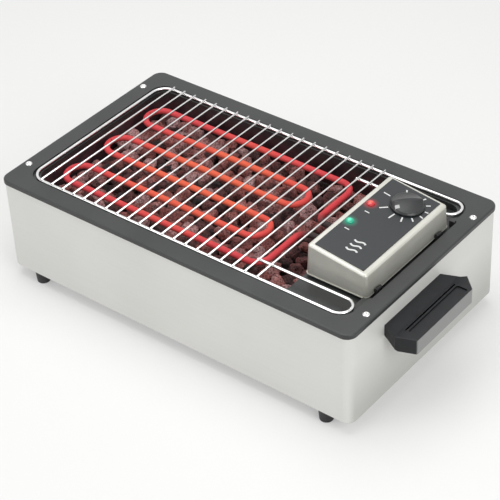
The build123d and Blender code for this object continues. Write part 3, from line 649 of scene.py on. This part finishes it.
# Heating element. One metal-clad tube in six runs, whose ends are held by gland nuts at the box. It
# is red hot in the middle, duller at its bends and dark where it enters the box, and its glow is painted
# stronger on top than underneath as painted shade.
def tube_tree(name, material, sides):
    """A round tube along a path of straight runs, with an arc at each corner."""
    tree = node_tree(name)
    named_input(tree, "Radius", "NodeSocketFloat", 0.004)
    path_in = add(tree, "NodeGroupInput")
    curve = add(tree, "GeometryNodeMeshToCurve", {"Mesh": path_in.outputs["Geometry"]})
    bend = add(tree, "GeometryNodeInputNamedAttribute", {"Name": "bend"}, data_type="FLOAT")
    arcs = add(tree, "GeometryNodeFilletCurve", {
        "Curve": curve.outputs[0], "Radius": bend.outputs[0], "Limit Radius": True})
    arcs.mode = "POLY"
    arcs.inputs["Count"].default_value = 14
    circle = add(tree, "GeometryNodeCurvePrimitiveCircle", {"Radius": path_in.outputs["Radius"]})
    circle.inputs["Resolution"].default_value = sides
    tube = add(tree, "GeometryNodeCurveToMesh", {
        "Curve": arcs.outputs[0], "Profile Curve": circle.outputs[0], "Fill Caps": True})
    close_tree(tree, tube.outputs[0], material)
    return tree


def path_mesh(name, points, bends):
    """An open path of straight edges, with the bend radius at each of its points."""
    mesh = points_mesh(name, points, bend=bends)
    mesh.edges.add(len(points) - 1)
    ends = [i for start in range(len(points) - 1) for i in (start, start + 1)]
    mesh.edges.foreach_set("vertices", ends)
    return mesh


glow, tree, shader, place = start_material("glowing_tube")
axes = tree.nodes.new("ShaderNodeSeparateXYZ")
tree.links.new(place, axes.inputs[0])
along = calc(tree, calc(tree, axes.outputs["X"], 0.055), 0.175, "DIVIDE")
across = calc(tree, axes.outputs["Y"], 0.125, "DIVIDE")
far = calc(tree, calc(tree, along, 2.0, "POWER"), calc(tree, across, 2.0, "POWER"))
heat = between(tree, far, 0.85, -0.1, 0.10, 1.15)
inward = between(tree, squared(tree, axes.outputs["Y"]), 1.0, 0.0, 0.0004, 0.0010)
cold = calc(tree, between(tree, axes.outputs["X"], 0.0, 1.0, 0.094, 0.108), inward, "MULTIPLY")
lit = between(tree, cold, 1.0, 0.0)
patchy = calc(tree, heat, calc(tree, mottle(tree, place, 30, 2.0), 0.35, "MULTIPLY"))
hot_colour = shades(tree, patchy, (
    (0.15, (0.34, 0.003, 0.020)), (0.45, (0.40, 0.008, 0.020)), (0.80, (0.48, 0.048, 0.014)),
    (1.0, (0.54, 0.085, 0.016))))
tree.links.new(hot_colour, shader.inputs["Emission Color"])
tree, shader, coordinates = reopen(glow)
facing = add(tree, "ShaderNodeSeparateXYZ", {"Vector": coordinates.outputs["Normal"]})
# Painted shade: the glow is stronger on the upper side of the tube and weaker below.
shaded = between(tree, facing.outputs["Z"], 0.05, 0.95, -0.35, 0.85)
tree.links.new(calc(tree, shaded, lit, "MULTIPLY"), shader.inputs["Emission Strength"])
tree.links.new(
    shades(tree, lit, ((0.0, (0.045, 0.030, 0.030)), (1.0, (0.34, 0.060, 0.055)))),
    shader.inputs["Base Color"])
shader.inputs["Specular IOR Level"].default_value = 0.25
tree.links.new(between(tree, mottle(tree, place, 700), 0.50, 0.68), shader.inputs["Roughness"])
relief(tree, shader, mottle(tree, place, 1400), 0.00005)

low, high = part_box("heating_element")
ELEMENT_RADIUS = (high.z - low.z) / 2
ELEMENT_Z = (high.z + low.z) / 2
RUN = 0.0192
LEG_X = 0.098
LEG_Y = 0.0135
LEG_BEND = 0.015
TURN_RIGHT = 0.064
turn_left = low.x + ELEMENT_RADIUS
element_route = [
    (high.x, LEG_Y), (LEG_X, LEG_Y), (LEG_X, 5 * RUN), (turn_left, 5 * RUN), (turn_left, 3 * RUN),
    (TURN_RIGHT, 3 * RUN), (TURN_RIGHT, RUN), (turn_left, RUN)]
element_route += [(x, -y) for x, y in reversed(element_route)]
element_bends = [0, LEG_BEND] + [RUN * 0.9999] * 12 + [LEG_BEND, 0]
element = grow(
    "element_tube", path_mesh("element_path", [(x, y, ELEMENT_Z) for x, y in element_route], element_bends),
    tube_tree("element_tree", glow, 24), "heater_head", "glowing_tube", Radius=ELEMENT_RADIUS)
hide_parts("heating_element")

# Control box. A folded stainless hood with leaning walls and soft edges, brushed across the grill
# and screwed to a flat base plate.
box_steel = rolled_sheet(
    "box_steel", (0.57, 0.565, 0.510), (0.68, 0.675, 0.62), 0.38, (1, 0.02, 1), 18.0, 0.5)
finish_nodes(box_steel, "control_box_cover", "control_box_base")

# Rest pads and terminal block. Glazed ceramic, off white: two pads under the box, and the block
# inside it that the wires are joined in.
ceramic, tree, shader, place = start_material("glazed_ceramic")
tree.links.new(
    shades(tree, mottle(tree, place, 120), ((0.3, (0.70, 0.67, 0.60)), (0.7, (0.80, 0.78, 0.72)))),
    shader.inputs["Base Color"])
shader.inputs["Roughness"].default_value = 0.25
finish_nodes(ceramic, "rest_pads", "terminal_block")

# Lamp bodies, energy regulator, cord gland and its nut. Plain black nylon mouldings inside the
# box, and the gland that its nut clamps in the rear wall.
nylon = moulded("black_nylon", (0.020, 0.020, 0.021), (0.032, 0.032, 0.033), 1800, 0.5)
finish_nodes(nylon, "red_lamp_body", "green_lamp_body", "energy_regulator", "cord_gland", "gland_nut")

# Face plate. Thin aluminium sheet, stove-enamelled dark grey with a fine grain. It lies on the
# sloping top of the box, under the knob and the lamps.
plate_grey, tree, shader, place = start_material("plate_grey")
grain = mottle(tree, place, 1800, 2.0)
tree.links.new(
    shades(tree, grain, ((0.3, (0.015, 0.018, 0.020)), (0.7, (0.023, 0.027, 0.030)))),
    shader.inputs["Base Color"])
tree.links.new(between(tree, grain, 0.36, 0.46), shader.inputs["Roughness"])
relief(tree, shader, grain, 0.00003)
finish_nodes(plate_grey, "face_plate")

# Printed marks. White ink on the plate: ticks round the knob, a bar under each lamp, and three
# rising wavy lines as a plain sign for heat.
SLOPE = math.radians(7.5)
FACE_EDGE = Vector((0.1539, 0, rim_top + 0.0337))
PLATE_SHEET = 0.0008
FACE_TURN = Matrix.Rotation(SLOPE, 4, "Y")
FACE = Matrix.Translation(FACE_EDGE) @ FACE_TURN
KNOB_U = 0.0484
KNOB_V = 0.0534
INK = 0.00006

ink, tree, shader, place = start_material("white_ink")
tree.links.new(
    shades(tree, mottle(tree, place, 2500), ((0.3, (0.62, 0.63, 0.62)), (0.7, (0.78, 0.78, 0.77)))),
    shader.inputs["Base Color"])
shader.inputs["Roughness"].default_value = 0.5

tick_tree = node_tree("tick_tree")
named_input(tick_tree, "Width", "NodeSocketFloat", 0.0013)
tick_in = add(tick_tree, "NodeGroupInput")
tick_length = add(tick_tree, "GeometryNodeInputNamedAttribute", {"Name": "length"}, data_type="FLOAT")
tick_angle = add(tick_tree, "GeometryNodeInputNamedAttribute", {"Name": "angle"}, data_type="FLOAT")
tick_bar = add(tick_tree, "GeometryNodeMeshCube", {"Size": (1, 1, INK)})
tick_scale = add(tick_tree, "ShaderNodeCombineXYZ", {
    "X": tick_length.outputs[0], "Y": tick_in.outputs["Width"], "Z": 1.0})
tick_turn = add(tick_tree, "ShaderNodeCombineXYZ", {"Z": tick_angle.outputs[0]})
tick_set = add(tick_tree, "GeometryNodeInstanceOnPoints", {
    "Points": tick_in.outputs["Geometry"], "Instance": tick_bar.outputs["Mesh"],
    "Rotation": tick_turn.outputs[0], "Scale": tick_scale.outputs[0]})
tick_tilt = add(tick_tree, "GeometryNodeTransform", {
    "Geometry": tick_set.outputs[0], "Translation": tuple(FACE_EDGE), "Rotation": (0, SLOPE, 0)})
close_tree(tick_tree, tick_tilt.outputs[0], ink, smooth=False)
TICKS = (
    (-132, 0.0230, 0.0338), (-97, 0.0222, 0.0330), (-70, 0.0222, 0.0305), (-42, 0.0222, 0.0285),
    (-14, 0.0222, 0.0275), (12, 0.0222, 0.0268), (41, 0.0222, 0.0278), (69, 0.0228, 0.0272),
    (125, 0.0238, 0.0285), (177, 0.0250, 0.0345))
tick_points = []
tick_angles = []
tick_lengths = []
for degrees, near_end, far_end in TICKS:
    angle = math.radians(degrees)
    radius = (near_end + far_end) / 2
    tick_points.append((
        KNOB_U + radius * math.cos(angle), KNOB_V + radius * math.sin(angle), PLATE_SHEET + INK / 2))
    tick_angles.append(angle)
    tick_lengths.append(far_end - near_end)
grow("dial_ticks", points_mesh("tick_points", tick_points, length=tick_lengths, angle=tick_angles),
     tick_tree, "heater_head", "pointer_white", Width=0.0018)
lamp_bar_points = [(0.0195, 0.0125, PLATE_SHEET + INK / 2), (0.0190, -0.0272, PLATE_SHEET + INK / 2)]
grow("lamp_marks", points_mesh("lamp_bar_points", lamp_bar_points, length=[0.0065] * 2, angle=[0.0, 0.0]),
     tick_tree, "heater_head", "pointer_white", Width=0.0016)


def ribbon(name, centre_lines, half_width, material):
    """Flat printed lines on the inclined plate, each along a list of (u, v) points."""
    shape = bmesh.new()
    for line in centre_lines:
        previous = None
        for index, (u, v) in enumerate(line):
            ahead = line[min(index + 1, len(line) - 1)]
            behind = line[max(index - 1, 0)]
            along = Vector((ahead[0] - behind[0], ahead[1] - behind[1], 0)).normalized()
            side = Vector((-along.y, along.x, 0)) * half_width
            centre = Vector((u, v, PLATE_SHEET))
            pair = [shape.verts.new(FACE @ (centre + side)), shape.verts.new(FACE @ (centre - side))]
            if previous:
                shape.faces.new((previous[0], previous[1], pair[1], pair[0]))
            previous = pair
    bmesh.ops.recalc_face_normals(shape, faces=shape.faces)
    mesh = bpy.data.meshes.new(name)
    shape.to_mesh(mesh)
    shape.free()
    mesh.materials.append(material)
    piece = bpy.data.objects.new(name, mesh)
    scene.collection.objects.link(piece)
    thick = piece.modifiers.new("ink", "SOLIDIFY")
    thick.thickness = INK
    thick.offset = 1.0
    return piece


heat_lines = []
for number in range(3):
    middle = -0.0535 + number * 0.0085
    heat_lines.append([
        (0.0520 - 0.015 * step / 16, middle + 0.0016 * math.sin(2 * math.pi * step / 16))
        for step in range(17)])
heat_sign = ribbon("heat_sign", heat_lines, 0.0012, ink)
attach(heat_sign, "heater_head")


# Lamps. Two small domed lenses of coloured plastic pushed into the face plate, with a lit bulb
# behind the middle of each. A little of their light is painted on the plate round them, as the plate's own
# glow.
def lit_lens(name, centre, deep, bright, strength):
    """A lit plastic lens, brightest over its bulb and deep coloured towards its edge."""
    material, tree, shader, place = start_material(name)
    shader.inputs["Base Color"].default_value = (*deep, 1)
    shader.inputs["Roughness"].default_value = 0.18
    shader.inputs["Coat Weight"].default_value = 0.4
    from_bulb = tree.nodes.new("ShaderNodeVectorMath")
    from_bulb.operation = "DISTANCE"
    from_bulb.inputs[1].default_value = centre
    tree.links.new(place, from_bulb.inputs[0])
    uneven = calc(tree, mottle(tree, place, 500), 0.0016, "MULTIPLY")
    near = between(tree, calc(tree, from_bulb.outputs["Value"], uneven), 1.0, 0.0, 0.0010, 0.0047)
    middle = [(a + b) / 2 for a, b in zip(deep, bright)]
    tree.links.new(
        shades(tree, near, ((0.0, deep), (0.45, middle), (1.0, bright))), shader.inputs["Emission Color"])
    tree.links.new(between(tree, near, strength * 0.2, strength), shader.inputs["Emission Strength"])
    return material


SPILL_FROM = 0.0040
SPILL_TO = 0.0120
plate_tree, plate_shader, coordinates = reopen(plate_grey)
plate_place = coordinates.outputs["Object"]
spills = []
for lens, deep, bright, strength in (
        ("red_lamp_lens", (0.50, 0.012, 0.020), (1.0, 0.22, 0.10), 0.95),
        ("green_lamp_lens", (0.006, 0.34, 0.20), (0.10, 0.86, 0.56), 1.0)):
    low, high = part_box(lens)
    bulb = (low + high) / 2 + Vector((0, 0, (high.z - low.z) / 2))
    finish_nodes(lit_lens(lens + "_lit", bulb, deep, bright, strength), lens)
    # Painted light: the plate glows in each lamp's colour round its bulb, fading outward.
    spread = add(plate_tree, "ShaderNodeVectorMath", {0: plate_place, 1: bulb}, operation="DISTANCE")
    spill = between(plate_tree, spread.outputs["Value"], 1.0, 0.0, SPILL_FROM, SPILL_TO)
    faded = calc(plate_tree, spill, 1.6, "POWER")
    painted_spill_colour = add(plate_tree, "ShaderNodeMix", {"Factor": faded}, data_type="RGBA")
    painted_spill_colour.inputs["A"].default_value = (0, 0, 0, 1)
    painted_spill_colour.inputs["B"].default_value = (*deep, 1)
    spills.append(painted_spill_colour.outputs["Result"])
both_spills = add(plate_tree, "ShaderNodeVectorMath", {0: spills[0], 1: spills[1]}, operation="ADD")
plate_tree.links.new(both_spills.outputs[0], plate_shader.inputs["Emission Color"])
plate_shader.inputs["Emission Strength"].default_value = 0.9

# Knob. One black moulding: a round skirt, and a lens-shaped grip whose sides are scooped out down
# to the skirt. A broad pale patch beside the grip's end is partly the mark that shows the setting and partly
# a painted highlight on the scoop.
KNOB_RADIUS = 0.0208
KNOB_FOOT = 0.0014
SKIRT_TOP = 0.0056
GRIP_TOP = 0.0106
GRIP_HALF_LENGTH = 0.0186
GRIP_HALF_WIDTH = 0.0022
POINTER_TURN = math.radians(48)
POINTER_A = -0.0172
POINTER_B = -0.0098
POINTER_LENGTH = 0.0052
POINTER_WIDTH = 0.0042
POINTER_STEPS = 12
POINTER_COLUMNS = 8
PAINT_RISE = 0.00012
RINGS = 60
SIDES = 144


def knob_height(a, b):
    """Height of the knob over the plate, a along the grip and b across it."""
    radius = math.hypot(a, b)
    skirt = SKIRT_TOP - 0.0022 * max(0.0, (radius / KNOB_RADIUS - 0.86) / 0.14) ** 2
    share = min(abs(a) / (GRIP_HALF_LENGTH + 0.0015), 1.0)
    half_width = GRIP_HALF_WIDTH * (1 - share ** 2)
    edge = math.sqrt(max(KNOB_RADIUS ** 2 - a * a, 1e-9))
    fall = min(max((abs(b) - half_width) / max(edge - half_width, 0.002), 0.0), 1.0)
    crown = GRIP_TOP - 0.0008 * share ** 2
    end = 1 - max(0.0, (share - 0.80) / 0.20) ** 2
    return skirt + (crown - skirt) * (1 - fall) ** 1.7 * end


knob_plastic = moulded("knob_plastic", (0.014, 0.015, 0.016), (0.022, 0.023, 0.025), 2000, 0.30)
shape = bmesh.new()
knob_place = FACE @ Matrix.Translation((KNOB_U, KNOB_V, 0)) @ Matrix.Rotation(POINTER_TURN, 4, "Z")
knob_rings = [[shape.verts.new(knob_place @ Vector((0, 0, knob_height(0, 0))))]]
for step in range(1, RINGS + 1):
    radius = KNOB_RADIUS * math.sin(math.pi / 2 * step / RINGS)
    ring = []
    for side in range(SIDES):
        angle = 2 * math.pi * side / SIDES
        a, b = radius * math.cos(angle), radius * math.sin(angle)
        ring.append(shape.verts.new(knob_place @ Vector((a, b, knob_height(a, b)))))
    knob_rings.append(ring)
SHAFT_RADIUS = 0.0031
knob_edge = ((KNOB_RADIUS, KNOB_FOOT + 0.0004), (KNOB_RADIUS - 0.0006, KNOB_FOOT), (SHAFT_RADIUS, KNOB_FOOT))
for radius, height in knob_edge:
    ring = []
    for side in range(SIDES):
        angle = 2 * math.pi * side / SIDES
        spot = Vector((radius * math.cos(angle), radius * math.sin(angle), height))
        ring.append(shape.verts.new(knob_place @ spot))
    knob_rings.append(ring)
for inner, outer in zip(knob_rings, knob_rings[1:]):
    for side in range(SIDES):
        after = (side + 1) % SIDES
        if len(inner) == 1:
            shape.faces.new((inner[0], outer[side], outer[after]))
        else:
            shape.faces.new((inner[side], outer[side], outer[after], inner[after]))
shape.faces.new(reversed(knob_rings[-1]))
bmesh.ops.recalc_face_normals(shape, faces=shape.faces)
for face in shape.faces:
    face.smooth = True
knob_mesh = bpy.data.meshes.new("knob")
shape.to_mesh(knob_mesh)
shape.free()
knob_mesh.materials.append(knob_plastic)
knob = bpy.data.objects.new("knob", knob_mesh)
scene.collection.objects.link(knob)
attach(knob, "knob")
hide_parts("thermostat_knob")

# The pale patch is partly the pointer mark and partly a painted highlight on the end of the scoop.
pointer_and_highlight_paint, tree, shader, place = start_material("pointer_and_highlight_paint")
tree.links.new(
    shades(tree, mottle(tree, place, 900), ((0.3, (0.40, 0.41, 0.40)), (0.7, (0.50, 0.51, 0.50)))),
    shader.inputs["Base Color"])
shader.inputs["Roughness"].default_value = 0.45
shape = bmesh.new()
previous = None
for step in range(POINTER_STEPS + 1):
    a = POINTER_A + POINTER_LENGTH * step / POINTER_STEPS
    row = []
    for column in range(POINTER_COLUMNS + 1):
        b = POINTER_B + POINTER_WIDTH * column / POINTER_COLUMNS
        row.append(shape.verts.new(knob_place @ Vector((a, b, knob_height(a, b) + PAINT_RISE))))
    for column in range(POINTER_COLUMNS if previous else 0):
        shape.faces.new((previous[column], previous[column + 1], row[column + 1], row[column]))
    previous = row
bmesh.ops.recalc_face_normals(shape, faces=shape.faces)
pointer_mesh = bpy.data.meshes.new("pointer_line")
shape.to_mesh(pointer_mesh)
shape.free()
pointer_mesh.materials.append(pointer_and_highlight_paint)
pointer = bpy.data.objects.new("pointer_line", pointer_mesh)
scene.collection.objects.link(pointer)
filled = pointer.modifiers.new("paint", "SOLIDIFY")
filled.thickness = 0.0006
filled.offset = -1.0
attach(pointer, "knob")
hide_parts("knob_pointer")

# Cooking grid. Bright chromed wire: a frame that turns back in two loops by the box, and twenty
# cross wires welded on top of it.
chrome, tree, shader, place = start_material("chrome_wire")
tree.links.new(
    shades(tree, mottle(tree, place, 130), ((0.3, (0.70, 0.70, 0.70)), (0.7, (0.84, 0.84, 0.84)))),
    shader.inputs["Base Color"])
shader.inputs["Metallic"].default_value = 1.0
tree.links.new(between(tree, mottle(tree, place, 420), 0.10, 0.24), shader.inputs["Roughness"])
relief(tree, shader, mottle(tree, place, 1500), 0.00002)

low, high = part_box("grid_frame_wire")
WIRE_RADIUS = (high.z - low.z) / 2
GRID_Z = (high.z + low.z) / 2
grid_half = high.y - WIRE_RADIUS
LOOP_INNER = 0.0985
LOOP_START = 0.0975
GRID_CORNER = 0.020
loop_bend = (grid_half - LOOP_INNER) / 2
frame_route = [
    (LOOP_START, LOOP_INNER), (high.x - WIRE_RADIUS, LOOP_INNER), (high.x - WIRE_RADIUS, grid_half),
    (low.x + WIRE_RADIUS, grid_half)]
frame_route += [(x, -y) for x, y in reversed(frame_route)]
frame_bends = [0, loop_bend * 0.9999, loop_bend * 0.9999, GRID_CORNER]
frame_bends += reversed(frame_bends[:])
grid_frame = grow(
    "grid_frame", path_mesh("frame_path", [(x, y, GRID_Z) for x, y in frame_route], frame_bends),
    tube_tree("frame_tree", chrome, 16), "grid", "chrome_wire", Radius=WIRE_RADIUS)
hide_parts("grid_frame_wire")

CROSS_WIRES = 20
CROSS_PITCH = 0.0178
low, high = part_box("grid_cross_wires")
CROSS_RADIUS = (high.z - low.z) / 2
cross_mid = (high.z + low.z) / 2
rod_profile = [(0, 0), (CROSS_RADIUS * 0.6, 0), (CROSS_RADIUS, CROSS_RADIUS * 0.4)]
rod_profile += [(CROSS_RADIUS, high.y - low.y - CROSS_RADIUS * 0.4), (CROSS_RADIUS * 0.6, high.y - low.y)]
rod_profile += [(0, high.y - low.y)]
rod_shape = bpy.data.objects.new("rod_shape", turned_shape("cross_rod", rod_profile, 16))
wire_tree = node_tree("cross_wire_tree")
named_input(wire_tree, "Pitch", "NodeSocketFloat", CROSS_PITCH)
named_input(wire_tree, "Count", "NodeSocketInt", CROSS_WIRES)
wire_in = add(wire_tree, "NodeGroupInput")
wire_step = add(wire_tree, "ShaderNodeCombineXYZ", {"X": wire_in.outputs["Pitch"]})
wire_row = add(wire_tree, "GeometryNodeMeshLine", {
    "Count": wire_in.outputs["Count"], "Start Location": (low.x + CROSS_RADIUS, low.y, cross_mid),
    "Offset": wire_step.outputs[0]})
wire_model = add(wire_tree, "GeometryNodeObjectInfo", {"Object": rod_shape})
wire_set = add(wire_tree, "GeometryNodeInstanceOnPoints", {
    "Points": wire_row.outputs[0], "Instance": wire_model.outputs["Geometry"],
    "Rotation": (-math.pi / 2, 0, 0)})
close_tree(wire_tree, wire_set.outputs[0], chrome)
cross_wires = grow("cross_wires", points_mesh("none", []), wire_tree, "grid", "chrome_wire")
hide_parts("grid_cross_wires")

# Welds. A small bead where each cross wire was pressed into the frame wire and fused with it. The
# beads were chromed with the grid.
bead_tree = node_tree("bead_tree")
named_input(bead_tree, "Size", "NodeSocketFloat", 0.0012)
bead_in = add(bead_tree, "NodeGroupInput")
bead_ball = add(bead_tree, "GeometryNodeMeshIcoSphere", {
    "Radius": bead_in.outputs["Size"], "Subdivisions": 2})
bead_set = add(bead_tree, "GeometryNodeInstanceOnPoints", {
    "Points": bead_in.outputs["Geometry"], "Instance": bead_ball.outputs[0], "Scale": (1.5, 1.5, 0.7)})
close_tree(bead_tree, bead_set.outputs[0], chrome)
bead_points = []
for step in range(CROSS_WIRES):
    x = low.x + CROSS_RADIUS + step * CROSS_PITCH
    rows = (grid_half, LOOP_INNER) if x > LOOP_START else (grid_half,)
    for y in rows:
        for side in (-1, 1):
            bead_points.append((x, side * y, GRID_Z + WIRE_RADIUS))
grow("grid_welds", points_mesh("bead_points", bead_points), bead_tree, "grid", "chrome_wire", Size=0.0013)

for helper in [screw_shape, rod_shape, *rocks.objects]:
    bpy.data.objects.remove(helper)

low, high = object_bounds()
